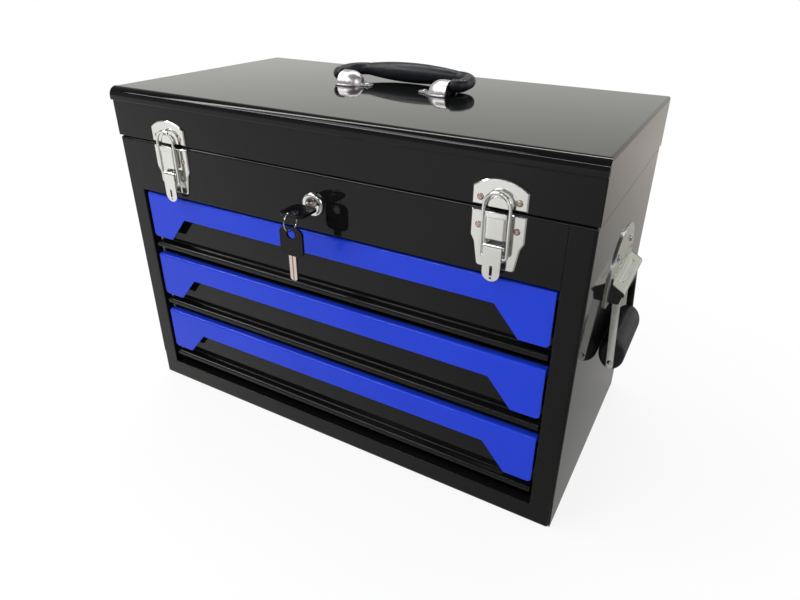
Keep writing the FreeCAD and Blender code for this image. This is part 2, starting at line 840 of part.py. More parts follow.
def lock_cam():
    """Flat cam on the plug's end; it stands up when the lid is free to open."""
    face = cam_front()
    hub = rod(V(0, face, lock_z), Y_AXIS, cam_hub_radius, cam_sheet)
    half = cam_width / 2
    arm = prism(in_xz(face, [(-half, lock_z), (half, lock_z), (half, lock_z + cam_length),
                             (-half, lock_z + cam_length)]), Y_AXIS * cam_sheet,
                [0, 0, half / 2, half / 2])
    return join([hub, arm])


def cam_screw():
    """Screw head that holds the cam."""
    return rod(V(0, cam_front() + cam_sheet, lock_z), Y_AXIS, cam_screw_radius, cam_screw_height)


def lock_catch():
    """Bent strip on the lid whose foot the turned cam holds down."""
    leg = cam_front() - catch_gap - catch_sheet
    foot = lock_z - cam_width / 2 - catch_clearance - catch_sheet
    hem = lid_bottom + sheet
    path = [(inner_front, hem + catch_lap), (inner_front, hem), (leg, hem), (leg, foot),
            (leg + catch_foot, foot)]
    return folded_along_x(path, catch_sheet, bend, catch_side, catch_side + catch_width)


def key_pieces():
    """Blade and bow of a key that points along y, with the plug's face at the origin."""
    half = blade_width / 2
    tip = blade_depth
    tail = -bow_stand - blade_tang
    outline = [(-half, tail), (half, tail), (half, tip - half / 2), (half / 2, tip),
               (-half / 2, tip), (-half, tip - half / 2)]
    thin = blade_thickness / 2
    blade = prism(in_xy(-thin, outline), Z_AXIS * blade_thickness)
    cuts = []
    for index in range(bit_count):
        y = tip - half - index * bit_pitch
        for sign in (-1, 1):
            edge = sign * half
            cuts.append(prism(in_xy(-blade_thickness, [
                (edge + sign * bit_depth, y - bit_depth), (edge + sign * bit_depth, y + bit_depth),
                (edge - sign * bit_depth / 2, y)]), Z_AXIS * (2 * blade_thickness)))
    blade = blade.cut(Part.makeCompound(cuts))
    end = -bow_stand - bow_length
    wide = bow_width / 2
    plate = prism(in_xy(-bow_thickness / 2, [(-wide, end), (wide, end), (wide, -bow_stand),
                                             (-wide, -bow_stand)]),
                  Z_AXIS * bow_thickness, [bow_corner] * 4)
    hole = rod(V(0, end + bow_hole_inset, -bow_thickness), Z_AXIS, bow_hole_radius,
               2 * bow_thickness)
    bow = round_edges(plate, bow_thickness / 4, lambda b: b.ZLength < same_point)
    return blade, bow.cut(hole).cut(blade)


def key_in_lock():
    """The key pushed home, its bow level."""
    return [piece.translated(V(0, plug_face(), lock_z)) for piece in key_pieces()]


def key_ring_centre():
    """Middle of the ring that hangs from the end of the key's bow."""
    end = plug_face() - bow_stand - bow_length
    return V(0, end + key_ring_inset, lock_z - key_ring_drop)


def key_ring():
    """Wire ring through the bow's hole, in an upright plane."""
    return Part.makeTorus(key_ring_radius, key_ring_wire, key_ring_centre(), X_AXIS)


def spare_key():
    """Second key hanging from the bottom of the ring, its bow facing front."""
    centre = key_ring_centre()
    wire_z = centre.z - key_ring_radius
    hole_z = wire_z - (bow_hole_radius - key_ring_wire - spare_hang_gap)
    hole_y = -bow_stand - bow_length + bow_hole_inset
    pieces = []
    for piece in key_pieces():
        hanging = piece.copy()
        hanging.rotate(V(0, 0, 0), X_AXIS, -90)
        hanging.translate(V(0, centre.y, hole_z + hole_y))
        pieces.append(hanging)
    return pieces


def handle_tilt():
    """Angle at which the folded top handle lies just clear of the lid."""
    lift = handle_grip_radius + handle_rest_gap - handle_pivot_rise
    return math.degrees(math.asin(lift / handle_reach))


def handle_points(end):
    """Centre line of the top handle from one inner end to the other, lying level."""
    z = lid_top + handle_pivot_rise
    back = handle_pivot_y + handle_reach
    arm = handle_span / 2
    return in_xy(z, [(end, handle_pivot_y), (arm, handle_pivot_y), (arm, back), (-arm, back),
                     (-arm, handle_pivot_y), (-end, handle_pivot_y)])


def tilted(shape):
    """A handle piece turned up to where it rests."""
    pivot = V(0, handle_pivot_y, lid_top + handle_pivot_rise)
    resting = shape.copy()
    resting.rotate(pivot, X_AXIS, handle_tilt())
    return resting


def top_handle():
    """Steel core and rubber grip of the top handle."""
    corners = [0, handle_stub_corner, handle_corner, handle_corner, handle_stub_corner, 0]
    core = bent_rod(handle_points(dome_face - dome_rod_reach), corners, handle_rod_radius)
    skin = bent_rod(handle_points(dome_face + dome_stub_gap), corners, handle_skin_radius)
    bar_y = handle_pivot_y + handle_reach
    bar_z = lid_top + handle_pivot_rise
    end = handle_span / 2 - handle_corner
    swell = Part.Arc(V(-end, bar_y, bar_z + handle_skin_radius),
                     V(0, bar_y, bar_z + handle_grip_radius),
                     V(end, bar_y, bar_z + handle_skin_radius)).toShape()
    outline = Part.Wire([swell, Part.makeLine(V(end, bar_y, bar_z + handle_skin_radius),
                                              V(end, bar_y, bar_z)),
                         Part.makeLine(V(end, bar_y, bar_z), V(-end, bar_y, bar_z)),
                         Part.makeLine(V(-end, bar_y, bar_z),
                                       V(-end, bar_y, bar_z + handle_skin_radius))])
    grip = Part.Face(outline).revolve(V(0, bar_y, bar_z), X_AXIS, 360)
    rubber = join([skin, grip]).cut(core)
    return tilted(core), tilted(rubber)


def handle_dome(radius):
    """Half dome lying on the lid about the handle's axis, open at its outer end."""
    centre = V(dome_face - dome_straight, handle_pivot_y, lid_top)
    barrel = rod(centre, X_AXIS, radius, dome_straight)
    nose = Part.makeSphere(radius, centre)
    above = box(0, dome_face, handle_pivot_y - radius, handle_pivot_y + radius,
                lid_top, lid_top + radius)
    return join([barrel, nose]).common(above)


def handle_bracket():
    """Pressed dome that holds one end of the top handle, with its foot and screw tongue."""
    nose_x = dome_face - dome_straight
    wide = dome_radius + dome_foot
    rim = join([rod(V(nose_x, handle_pivot_y, lid_top), Z_AXIS, wide, dome_sheet),
                box(nose_x, dome_face, handle_pivot_y - wide, handle_pivot_y + wide,
                    lid_top, lid_top + dome_sheet)])
    rim = rim.common(box(nose_x - wide, dome_face, handle_pivot_y - wide, handle_pivot_y + wide,
                         lid_top, lid_top + dome_sheet))
    half = tongue_width / 2
    tongue = prism(in_xy(lid_top, [(tongue_end, handle_pivot_y - half),
                                   (nose_x, handle_pivot_y - half),
                                   (nose_x, handle_pivot_y + half),
                                   (tongue_end, handle_pivot_y + half)]),
                   Z_AXIS * dome_sheet, [half - same_point, 0, 0, half - same_point])
    bracket = join([handle_dome(dome_radius), rim, tongue])
    bracket = bracket.cut(handle_dome(dome_radius - dome_sheet))
    x, y = tongue_screw_place()
    return bracket.cut(rod(V(x, y, lid_top - cut_over), Z_AXIS,
                           rivet_shank_radius + pin_clearance, dome_sheet + 2 * cut_over))


def tongue_screw_place():
    """Centre of the screw through the right bracket's tongue."""
    return tongue_end + tongue_width / 2, handle_pivot_y


def side_plate():
    """Backing plate of a side handle, arched over the top."""
    low = side_pivot_z - side_plate_drop
    high = side_pivot_z + side_plate_rise
    y0 = side_centre_y - side_plate_half
    y1 = side_centre_y + side_plate_half
    outline = [(y0, low), (y1, low), (y1, high), (y0, high)]
    plate = prism(in_yz(half_width, outline), X_AXIS * side_plate_sheet,
                  [side_plate_foot_corner, side_plate_foot_corner,
                   side_plate_corner, side_plate_corner])
    return plate.cut(side_rivet_holes())


def side_rivet_places():
    """Centres of the four rivets of a side plate."""
    places = []
    for sign in (-1, 1):
        y = side_centre_y + sign * side_rivet_spread / 2
        places.append((y, side_pivot_z + side_rivet_rise))
        places.append((y, side_pivot_z - side_rivet_radius))
    return places


def side_rivet_holes():
    """Clearance holes of the side rivets through the plate and the case."""
    return Part.makeCompound([
        rod(V(inner_side - cut_over, y, z), X_AXIS, rivet_shank_radius + pin_clearance,
            sheet + side_plate_sheet + 2 * cut_over) for y, z in side_rivet_places()])


def side_hood_reach():
    """Half length of a side handle's hood and its pivot pin."""
    return side_arm_spread / 2 + side_cheek_gap + side_cheek_sheet


def side_hood():
    """Pressed sloping hood with a long recess, whose cheeks hold the bail's pivot."""
    base = half_width + side_plate_sheet
    nose = half_width + hood_reach
    under = side_pivot_z + hood_rise
    reach = side_hood_reach()
    y0 = side_centre_y - reach
    y1 = side_centre_y + reach
    path = [(base, under + hood_flange), (base, under), (nose, under - hood_fall),
            (nose, under - hood_fall - hood_lip)]
    hood = folded_along_y(path, side_plate_sheet, bend, y0, y1)
    slope = math.atan2(hood_fall, nose - base)
    outward = V(math.sin(slope), 0, math.cos(slope))
    middle = V((base + nose) / 2, y0 + hood_groove_inset, under - hood_fall / 2)
    axis = middle + outward * (side_plate_sheet + hood_groove_radius - hood_groove_depth)
    groove = rod(axis, Y_AXIS, hood_groove_radius, 2 * (reach - hood_groove_inset))
    pieces = [hood.cut(groove)]
    low = side_pivot_z - cheek_drop
    outline = [(base, low), (nose - side_cheek_sheet, low), (nose, under - hood_fall - hood_lip),
               (nose, under - hood_fall), (base, under)]
    for y in (y0, y1 - side_cheek_sheet):
        pieces.append(prism([V(a, y, b) for a, b in outline], Y_AXIS * side_cheek_sheet,
                            [0, hood_lip, 0, 0, 0]))
    pin_hole = rod(V(half_width + side_pivot_stand, y0 - cut_over, side_pivot_z), Y_AXIS,
                   side_pin_radius + pin_clearance / 2, 2 * (reach + cut_over))
    return join(pieces).cut(pin_hole)


def side_pin():
    """Pivot pin of a side handle's bail."""
    reach = side_hood_reach()
    return rod(V(half_width + side_pivot_stand, side_centre_y - reach, side_pivot_z), Y_AXIS,
               side_pin_radius, 2 * reach)


def leaning(shape):
    """A bail piece turned out from the case to where it hangs."""
    hanging = shape.copy()
    hanging.rotate(V(half_width + side_pivot_stand, 0, side_pivot_z), Y_AXIS, -side_arm_lean)
    return hanging


def side_bail():
    """Two strap arms of a side handle with their rivets into the grip."""
    x = half_width + side_pivot_stand
    low = side_pivot_z - side_arm_length
    arms = []
    for sign in (-1, 1):
        outer = side_centre_y + sign * side_arm_spread / 2
        inner = outer - sign * side_arm_sheet
        y = min(outer, inner)
        strap = join([
            box(x - side_arm_half, x + side_arm_half, y, y + side_arm_sheet, low, side_pivot_z),
            rod(V(x, y, low), Y_AXIS, side_arm_half, side_arm_sheet),
            rod(V(x, y, side_pivot_z), Y_AXIS, side_arm_half, side_arm_sheet)])
        bore = rod(V(x, y - cut_over, side_pivot_z), Y_AXIS, side_pin_radius + pin_clearance,
                   side_arm_sheet + 2 * cut_over)
        head = rivet(V(x, outer, low + side_arm_half), Y_AXIS * sign, arm_rivet_radius,
                     arm_rivet_dome, side_arm_sheet)
        arms.append(leaning(join([strap.cut(bore), head])))
    return arms


def side_grip():
    """Oval moulded grip between the arms."""
    half = side_arm_spread / 2 - side_arm_sheet
    centre = V(half_width + side_pivot_stand, side_centre_y - half, side_pivot_z - grip_drop)
    oval = Part.Ellipse(centre + Z_AXIS * (grip_height / 2), centre + X_AXIS * (grip_thickness / 2),
                        centre)
    grip = Part.Face(Part.Wire(oval.toShape())).extrude(Y_AXIS * (2 * half))
    grip = grip.makeFillet(grip_round, [edge for edge in grip.Edges
                                        if edge.BoundBox.YLength < same_point])
    return leaning(grip)


def build():
    """Write every sub-part."""
    os.makedirs("parts", exist_ok=True)
    skin = case_skin()
    panel = side_panel(skin).cut(side_rivet_holes())
    save("side_panel_right", [panel])
    save("side_panel_left", [mirrored(panel)])
    base_holes = [rivet_holes(base_rivet_places(x)) for name, x in latch_centres()]
    save("front_header", [front_header(skin).cut(base_holes)])
    save("back_panel", [skin.common(box(-open_half, open_half, 0, rear, 0, body_height))])
    save("base_pan", [base_pan()])
    save("tray_floor", [tray_floor()])
    posts = runner_posts()
    save("runner_posts", posts + [mirrored(post) for post in posts])
    channels = runners()
    save("runners", channels + [mirrored(channel) for channel in channels])
    save("hinge_leaf_case", [hinge_leaf_with(range(0, hinge_knuckles, 2), -1)])
    save("hinge_leaf_lid", [hinge_leaf_with(range(1, hinge_knuckles, 2), 1)])
    save("hinge_pin", [rod(V(-hinge_width / 2, hinge_y, body_height), X_AXIS, hinge_pin_radius,
                           hinge_width)])
    for name, top in drawer_places():
        save(name + "_tray", [drawer_tray(top)])
        save(name + "_front", [drawer_front(top)])
        save(name + "_fascia", [drawer_fascia(top)])
        slide = drawer_slides(top)
        save(name + "_slides", [slide, mirrored(slide)])
    lid_holes = [rivet_holes(keeper_rivet_places(x)) for name, x in latch_centres()]
    screw_x, screw_y = tongue_screw_place()
    for name, sign in SIDES:
        lid_holes.append(rod(V(sign * screw_x, screw_y, lid_top - 2 * sheet), Z_AXIS,
                             rivet_shank_radius + pin_clearance, 2 * sheet + cut_over))
    save("lid_shell", [lid_shell().cut(lid_holes)])
    case_rivets = []
    lid_rivets = []
    pins = []
    for name, x in latch_centres():
        save("latch_keeper_" + name, [latch_keeper(x)])
        save("latch_base_" + name, [latch_base(x)])
        save("latch_lever_" + name, [latch_lever(x)])
        save("latch_loop_" + name, [latch_loop(x)])
        pins.append(latch_pin(x))
        shank = latch_plate + 2 * sheet
        for places, group in ((base_rivet_places(x), case_rivets),
                              (keeper_rivet_places(x), lid_rivets)):
            for a, b in places:
                group.append(rivet(V(a, front - latch_plate, b), Y_AXIS * -1,
                                   latch_rivet_radius, rivet_dome, shank))
    save("latch_pins", pins)
    bracket = handle_bracket()
    screw = rivet(V(screw_x, screw_y, lid_top + dome_sheet), Z_AXIS, tongue_screw_radius,
                  tongue_screw_dome, dome_sheet + 2 * sheet)
    plate_rivets = [rivet(V(half_width + side_plate_sheet, y, z), X_AXIS, side_rivet_radius,
                          side_rivet_dome, side_plate_sheet + 2 * sheet)
                    for y, z in side_rivet_places()]
    side_parts = {"side_plate": [side_plate()], "side_hood": [side_hood()],
                  "side_bail": side_bail(), "side_grip": [side_grip()],
                  "handle_bracket": [bracket]}
    for name, sign in SIDES:
        for part_name, solids in side_parts.items():
            save(part_name + "_" + name, [on_side(solid, sign) for solid in solids])
        case_rivets += [on_side(solid, sign) for solid in plate_rivets]
        lid_rivets.append(on_side(screw, sign))
    save("side_pins", [side_pin(), mirrored(side_pin())])
    save("case_rivets", case_rivets)
    save("lid_rivets", lid_rivets)
    core, rubber = top_handle()
    save("top_handle_core", [core])
    save("top_handle_grip", [rubber])
    save("lock_barrel", [lock_barrel()])
    save("lock_nut", [lock_nut()])
    save("lock_plug", [lock_plug()])
    save("lock_cam", [lock_cam()])
    save("cam_screw", [cam_screw()])
    save("lock_catch", [lock_catch()])
    blade, bow = key_in_lock()
    save("key_blade", [blade])
    save("key_bow", [bow])
    save("key_ring", [key_ring()])
    spare_blade, spare_bow = spare_key()
    save("spare_key_blade", [spare_blade])
    save("spare_key_bow", [spare_bow])


build()
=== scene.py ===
import math

import bmesh
import bpy
from bpy.props import FloatProperty, FloatVectorProperty, PointerProperty
from mathutils import Matrix, Vector


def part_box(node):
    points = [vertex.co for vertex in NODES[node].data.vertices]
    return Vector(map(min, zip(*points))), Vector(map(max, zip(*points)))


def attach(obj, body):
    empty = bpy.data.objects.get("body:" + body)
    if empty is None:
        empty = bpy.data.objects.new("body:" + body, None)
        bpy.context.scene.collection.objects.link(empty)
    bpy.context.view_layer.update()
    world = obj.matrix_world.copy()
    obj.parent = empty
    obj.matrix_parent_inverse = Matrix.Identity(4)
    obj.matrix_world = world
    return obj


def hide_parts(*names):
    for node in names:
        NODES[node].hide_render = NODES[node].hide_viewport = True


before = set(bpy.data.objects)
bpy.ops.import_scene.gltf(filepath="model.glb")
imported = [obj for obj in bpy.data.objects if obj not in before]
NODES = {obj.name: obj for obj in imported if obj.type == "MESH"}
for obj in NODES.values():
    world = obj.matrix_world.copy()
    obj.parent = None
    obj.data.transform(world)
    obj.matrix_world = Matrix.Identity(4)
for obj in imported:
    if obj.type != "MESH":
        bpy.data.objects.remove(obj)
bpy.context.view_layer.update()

bl_info = {
    "name": "Tool Chest Finisher",
    "version": (1, 0, 0),
    "blender": (4, 5, 0),
    "location": "3D View > Sidebar > Tool Chest",
    "description": "Paint, chrome and small fittings for a portable tool chest with drawers",
    "category": "Object",
}

SIDES = (("left", -1), ("right", 1))
DRAWERS = ("drawer_1", "drawer_2", "drawer_3")
LIBRARY = {}

# Places and sizes of the CAD model that the new pieces are fitted to, in metres.
LATCH_X = 0.165
LATCH_RIVET_STEP = 0.0147
LATCH_PLATE_Y = -0.1241
CASE_RIVET_Z = 0.2695
LID_RIVET_Z = 0.2908
BRIDGE_WIDTH = 0.0164
BRIDGE_Y = -0.1285
BRIDGE_TOP_Z = 0.2784
SIDE_PLATE_X = 0.2365
SIDE_PLATE_MIDDLE_Y = 0.0035
SIDE_RIVETS_Y = (-0.0215, 0.0285)
SIDE_RIVETS_Z = (0.221, 0.1868)
HOOD_CHEEK = 0.0386
BRACKET_SCREW = (0.032, 0.014, 0.3312)
GROOVE_HALF_WIDTH = 0.0007
LOCK_FACE = (0.0, -0.126, 0.256)
BOW_HALF = (0.0118, 0.0128, 0.0008)
BOW_MIDDLE_Y = -0.0175
BOW_CORNER = 0.006
BOW_HOLE_Y = -0.0243
BOW_HOLE_RADIUS = 0.0042
RING_RADIUS = 0.008
RING_TO_HOLE = 0.0026

# Faces that meet at more than this angle keep a sharp edge between them.
SHARP_ANGLE = math.radians(38)

# Name, place, point aimed at, sides and watts of each lamp.
LAMPS = (
    ("lamp_key", (-1.1, -1.3, 1.9), (0, 0, 0.15), (1.2, 0.8), 13),
    ("lamp_tube_rear", (-0.8, 0.45, 2.0), (-0.3, 0, 0.3), (4.6, 0.24), 48),
    ("lamp_tube_front", (-0.8, -2.0, 2.1), (-0.3, 0, 0.3), (4.6, 0.13), 30),
    ("lamp_fill", (1.9, -0.4, 1.2), (0, 0, 0.15), (1.0, 1.0), 9),
)
CAMERA_SENSOR = 36.0
CAMERA_SHIFT = (-0.0082, -0.0244)
CAMERA_NEAR = 0.01

WHITE = (1.0, 1.0, 1.0, 1.0)


class Wire:
    """A shader socket. Sums and products of wires add their Math nodes."""

    def __init__(self, tree, socket=None):
        self.tree = tree
        self.socket = socket

    def node(self, kind, settings=None, inputs=None, output=0):
        """Add a node with its settings, then feed its sockets with wires or values."""
        made = self.tree.nodes.new(kind)
        for key, value in (settings or {}).items():
            if key == "stops":
                ramp = made.color_ramp
                while len(ramp.elements) < len(value):
                    ramp.elements.new(1.0)
                for element, (place, colour) in zip(ramp.elements, value):
                    element.position = place
                    element.color = colour
            else:
                setattr(made, key, value)
        for key, value in (inputs or {}).items():
            if isinstance(value, Wire):
                self.tree.links.new(value.socket, made.inputs[key])
            else:
                made.inputs[key].default_value = value
        return Wire(self.tree, made.outputs[output])

    def maths(self, operation, first, second=0.0, clamp=False):
        """Add a Math node on two wires or values."""
        settings = {"operation": operation, "use_clamp": clamp}
        return self.node("ShaderNodeMath", settings, {0: first, 1: second})

    def __add__(self, other):
        return self.maths("ADD", self, other)

    __radd__ = __add__

    def __mul__(self, other):
        return self.maths("MULTIPLY", self, other)

    __rmul__ = __mul__

    def __sub__(self, other):
        return self.maths("SUBTRACT", self, other)

    def __rsub__(self, other):
        return self.maths("SUBTRACT", other, self)

    def __gt__(self, other):
        return self.maths("GREATER_THAN", self, other)

    def __lt__(self, other):
        return self.maths("LESS_THAN", self, other)

    def clamped(self):
        """This wire, held between 0 and 1."""
        return self.maths("MULTIPLY", self, 1.0, True)

    def size(self):
        """This wire without its sign."""
        return self.maths("ABSOLUTE", self)

    def part(self, axis):
        """One component of this vector wire: X, Y or Z."""
        return self.node("ShaderNodeSeparateXYZ", None, {0: self}, "XYZ".index(axis))

    def blend(self, first, second):
        """Mix two colours by this wire."""
        return self.node("ShaderNodeMix", {"data_type": "RGBA"}, {0: self, 6: first, 7: second}, 2)


def noise(space, scale, detail=2.0, rough=0.5, output=0):
    """Noise over the object, with its scale in cells a metre."""
    return space.node("ShaderNodeTexNoise", None, {
        "Vector": space, "Scale": scale, "Detail": detail, "Roughness": rough}, output)


def stretched(space, scale):
    """The object's coordinates with each axis scaled."""
    return space.node("ShaderNodeMapping", None, {"Vector": space, "Scale": scale})


def finish(name, build, **sockets):
    """Make a material: plain sockets are constants, and build adds what varies over it."""
    material = bpy.data.materials.new(name)
    material.use_nodes = True
    tree = material.node_tree
    shader = tree.nodes["Principled BSDF"]
    for key, value in sockets.items():
        shader.inputs[key.replace("_", " ")].default_value = value
    start = Wire(tree)
    space = start.node("ShaderNodeTexCoord", None, None, "Object")
    for key, wire in build(space).items():
        tree.links.new(wire.socket, shader.inputs[key])
    LIBRARY[name] = material
    return material


def bump(space, height, distance, edge):
    """Raise a surface by a height wire, in metres, over edges rounded by a radius."""
    rounded = space.node("ShaderNodeBevel", {"samples": 6}, {"Radius": edge})
    return space.node("ShaderNodeBump", None, {
        "Height": height, "Distance": distance, "Normal": rounded})


def near_edge(space, radius):
    """One along the outline of a pressed part, falling to nothing away from its edges."""
    rounded = space.node("ShaderNodeBevel", {"samples": 6}, {"Radius": radius})
    plain = space.node("ShaderNodeNewGeometry", None, None, "Normal")
    facing = rounded.node("ShaderNodeVectorMath", {"operation": "DOT_PRODUCT"},
                          {0: rounded, 1: plain}, "Value")
    return spread(1.0 - facing, 0.015, 0.14, 0.0, 1.0)


def spread(wire, low, high, first, last):
    """Map a wire's span from low to high onto first to last."""
    return wire.node("ShaderNodeMapRange", None, {
        "Value": wire, "From Min": low, "From Max": high, "To Min": first, "To Max": last})


def gloss_paint(dark, light, rough_low, rough_high, peel, edge):
    """Sprayed enamel: faint tone drift, hazy patches, orange peel and dust nibs."""
    def build(space):
        drift = noise(space, 14.0, 3.0)
        haze = noise(space, 32.0, 4.0, 0.6)
        nibs = spread(noise(space, 900.0, 1.0), 0.74, 0.80, 0.0, 1.0)
        fine = noise(space, 420.0, 2.0, 0.45)
        return {"Base Color": drift.blend(dark, light),
                "Roughness": spread(haze, 0.35, 0.75, rough_low, rough_high),
                "Normal": bump(space, fine + 0.8 * nibs, peel, edge)}
    return build


def plated(dark, light, rough_low, rough_high, wave, scratch, edge):
    """Bright plating over pressed steel: slow waves, fine scuffs, cloudy polish and pits, with
    painted shade and a painted dark reflection along its edges.
    """
    def build(space):
        cloud = noise(space, 90.0, 3.0, 0.6)
        tone = noise(space, 45.0, 2.0)
        slow = noise(space, 130.0, 1.0)
        scuff = noise(stretched(space, (260.0, 260.0, 5200.0)), 1.0, 2.0)
        pits = spread(noise(space, 1500.0, 1.0), 0.70, 0.78, 0.0, 1.0)
        worn = (0.5 * pits).blend(tone.blend(dark, light), (0.20, 0.19, 0.18, 1.0))
        # Painted shade and dark reflection: the colour darkens along every edge.
        outline = near_edge(space, 0.8 * edge)
        return {"Base Color": (0.62 * outline).blend(worn, (0.10, 0.10, 0.11, 1.0)),
                "Roughness": spread(cloud, 0.3, 0.75, rough_low, rough_high),
                "Normal": bump(space, slow + scratch * scuff, wave, edge)}
    return build


def passivated(dark, light, tint, rough_low, rough_high, edge, cheek=0.0):
    """Zinc plating: creamy, with drifting stains and painted shade along its edges. Beyond a
    cheek's distance it is painted dark and not metal, as the shade under the hood.
    """
    def build(space):
        cloud = noise(space, 70.0, 4.0, 0.6)
        stain = spread(noise(space, 38.0, 2.0), 0.45, 0.70, 0.0, 0.5)
        slow = noise(space, 150.0, 2.0)
        fine = noise(space, 1100.0, 2.0)
        plating = stain.blend(cloud.blend(dark, light), tint)
        # Painted shade: the colour darkens along every edge.
        outline = near_edge(space, 0.8 * edge)
        made = {"Base Color": (0.4 * outline).blend(plating, (0.12, 0.12, 0.11, 1.0)),
                "Roughness": spread(cloud, 0.3, 0.7, rough_low, rough_high),
                "Normal": bump(space, slow + 0.1 * fine, 0.00002, edge)}
        if cheek:
            # Painted shade under the hood: beyond the cheek's distance the zinc turns to a dark
            # non-metal.
            cheek_shade = (space.part("Y") - SIDE_PLATE_MIDDLE_Y).size() > cheek
            made["Base Color"] = cheek_shade.blend(made["Base Color"], (0.006, 0.006, 0.007, 1.0))
            made["Metallic"] = 1.0 - cheek_shade
        return made
    return build


def groove_shaded(surface):
    """A surface with a dark stripe down its middle, painted as the shade in the cut groove of a
    key's blade.
    """
    def build(space):
        made = surface(space)
        # Painted shade: a dark red-brown stripe down the blade's middle.
        groove = (space.part("X").size() < GROOVE_HALF_WIDTH) * 0.8
        made["Base Color"] = groove.blend(made["Base Color"], (0.22, 0.10, 0.09, 1.0))
        return made
    return build


def moulded(dark, light, rough_low, rough_high, grain, cells, edge):
    """Moulded rubber or plastic with a pebbled skin, rubbed smoother in patches."""
    def build(space):
        tone = noise(space, 60.0, 3.0)
        pebble = space.node("ShaderNodeTexVoronoi", {"feature": "SMOOTH_F1"}, {
            "Vector": space, "Scale": cells, "Smoothness": 0.6})
        wear = noise(space, 120.0, 4.0, 0.65)
        return {"Base Color": tone.blend(dark, light),
                "Roughness": spread(wear, 0.3, 0.7, rough_low, rough_high),
                "Normal": bump(space, pebble, grain, edge)}
    return build


def paint_nodes(names, material):
    """Give CAD nodes a material."""
    for name in names:
        mesh = NODES[name].data
        mesh.materials.clear()
        mesh.materials.append(LIBRARY[material])


def rgba(colour):
    """A colour of three parts with a full alpha."""
    return (colour[0], colour[1], colour[2], 1.0)


def turned(shape, profile, place, direction, steps=24, slot=0):
    """Spin a profile of radius and height about a direction, as on a lathe."""
    before = set(shape.faces)

    def fresh():
        faces = [face for face in shape.faces if face not in before]
        return faces, list(dict.fromkeys(vert for face in faces for vert in face.verts))

    points = [shape.verts.new((radius, 0.0, height)) for radius, height in profile]
    edges = [shape.edges.new(pair) for pair in zip(points, points[1:])]
    bmesh.ops.spin(shape, geom=points + edges, cent=(0, 0, 0), axis=(0, 0, 1),
                   angle=math.tau, steps=steps, use_merge=True)
    faces, corners = fresh()
    bmesh.ops.remove_doubles(shape, verts=corners, dist=1e-7)
    faces, corners = fresh()
    for face in faces:
        face.material_index = slot
    turn = Vector(direction).to_track_quat("Z", "Y").to_matrix().to_4x4()
    bmesh.ops.transform(shape, matrix=Matrix.Translation(place) @ turn, verts=corners)


def piece(name, shape, body, slot, materials, *replaced):
    """Turn a bmesh into a finished piece that rides on a body and stands for CAD nodes."""
    bmesh.ops.recalc_face_normals(shape, faces=shape.faces)
    mesh = bpy.data.meshes.new(name)
    shape.to_mesh(mesh)
    shape.free()
    for material in materials:
        mesh.materials.append(LIBRARY[material])
    mesh.shade_smooth()
    mesh.set_sharp_from_angle(angle=SHARP_ANGLE)
    made = bpy.data.objects.new(name, mesh)
    bpy.context.scene.collection.objects.link(made)
    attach(made, body)
    if replaced:
        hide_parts(*replaced)
    return made


class ChestPaint(bpy.types.PropertyGroup):
    """Colours and gloss of the enamel."""

    body_colour: FloatVectorProperty(
        name="Body", description="Enamel on the case, lid and drawers", subtype="COLOR",
        size=3, min=0.0, max=1.0, default=(0.0030, 0.0032, 0.0030))
    body_drift: FloatVectorProperty(
        name="Body drift", description="Lighter tone that the body enamel drifts to",
        subtype="COLOR", size=3, min=0.0, max=1.0, default=(0.0055, 0.0058, 0.0055))
    front_colour: FloatVectorProperty(
        name="Fascia", description="Enamel on the drawer fascias", subtype="COLOR",
        size=3, min=0.0, max=1.0, default=(0.008, 0.034, 0.49))
    front_drift: FloatVectorProperty(
        name="Fascia drift", description="Lighter tone that the fascia enamel drifts to",
        subtype="COLOR", size=3, min=0.0, max=1.0, default=(0.012, 0.044, 0.56))
    peel: FloatProperty(
        name="Orange peel", description="Height of the ripples in the enamel",
        subtype="DISTANCE", unit="LENGTH", min=0.0, default=0.0000025)
    edge: FloatProperty(
        name="Edge", description="Radius of the folded sheet's edges",
        subtype="DISTANCE", unit="LENGTH", min=0.0, default=0.0006)


class ChestFittings(bpy.types.PropertyGroup):
    """Sizes of the rivets, the latch lips, the key bows and the split ring."""

    rivet_head: FloatProperty(
        name="Latch rivet", description="Radius of the latch rivets' heads",
        subtype="DISTANCE", unit="LENGTH", min=0.0005, default=0.0022)
    side_rivet_head: FloatProperty(
        name="Side rivet", description="Radius of the side plate rivets' heads",
        subtype="DISTANCE", unit="LENGTH", min=0.0005, default=0.0032)
    bow_rim: FloatProperty(
        name="Bow rim", description="Width of the raised rim round a key's bow",
        subtype="DISTANCE", unit="LENGTH", min=0.0005, max=0.0007, default=0.0006)
    bow_recess: FloatProperty(
        name="Bow recess", description="Depth of the sunk field of a key's bow",
        subtype="DISTANCE", unit="LENGTH", min=0.0, default=0.00018)
    lip_height: FloatProperty(
        name="Latch lip", description="Height of the lip over a latch's bridge",
        subtype="DISTANCE", unit="LENGTH", min=0.001, max=0.0043, default=0.0042)
    ring_wire: FloatProperty(
        name="Ring wire", description="Half thickness of the split ring's flat wire",
        subtype="DISTANCE", unit="LENGTH", min=0.0001, default=0.0002)


class ChestStage(bpy.types.PropertyGroup):
    """Floor and camera."""

    floor_size: FloatProperty(
        name="Floor", description="Length of the floor's sides", subtype="DISTANCE",
        unit="LENGTH", min=1.0, default=60.0)
    floor_colour: FloatVectorProperty(
        name="Floor colour", description="Colour of the floor", subtype="COLOR",
        size=3, min=0.0, max=1.0, default=(0.80, 0.80, 0.80))
    camera_place: FloatVectorProperty(
        name="Camera place", description="Where the camera stands", subtype="TRANSLATION",
        unit="LENGTH", size=3, default=(0.3047, -0.51257, 0.43784))
    camera_turn: FloatVectorProperty(
        name="Camera turn", description="Tilt, roll and heading of the camera",
        subtype="EULER", unit="ROTATION", size=3,
        default=tuple(math.radians(a) for a in (62.5623, -0.6792, 29.1515)))
    lens: FloatProperty(
        name="Lens", description="Focal length in millimetres", min=1.0, default=27.54)


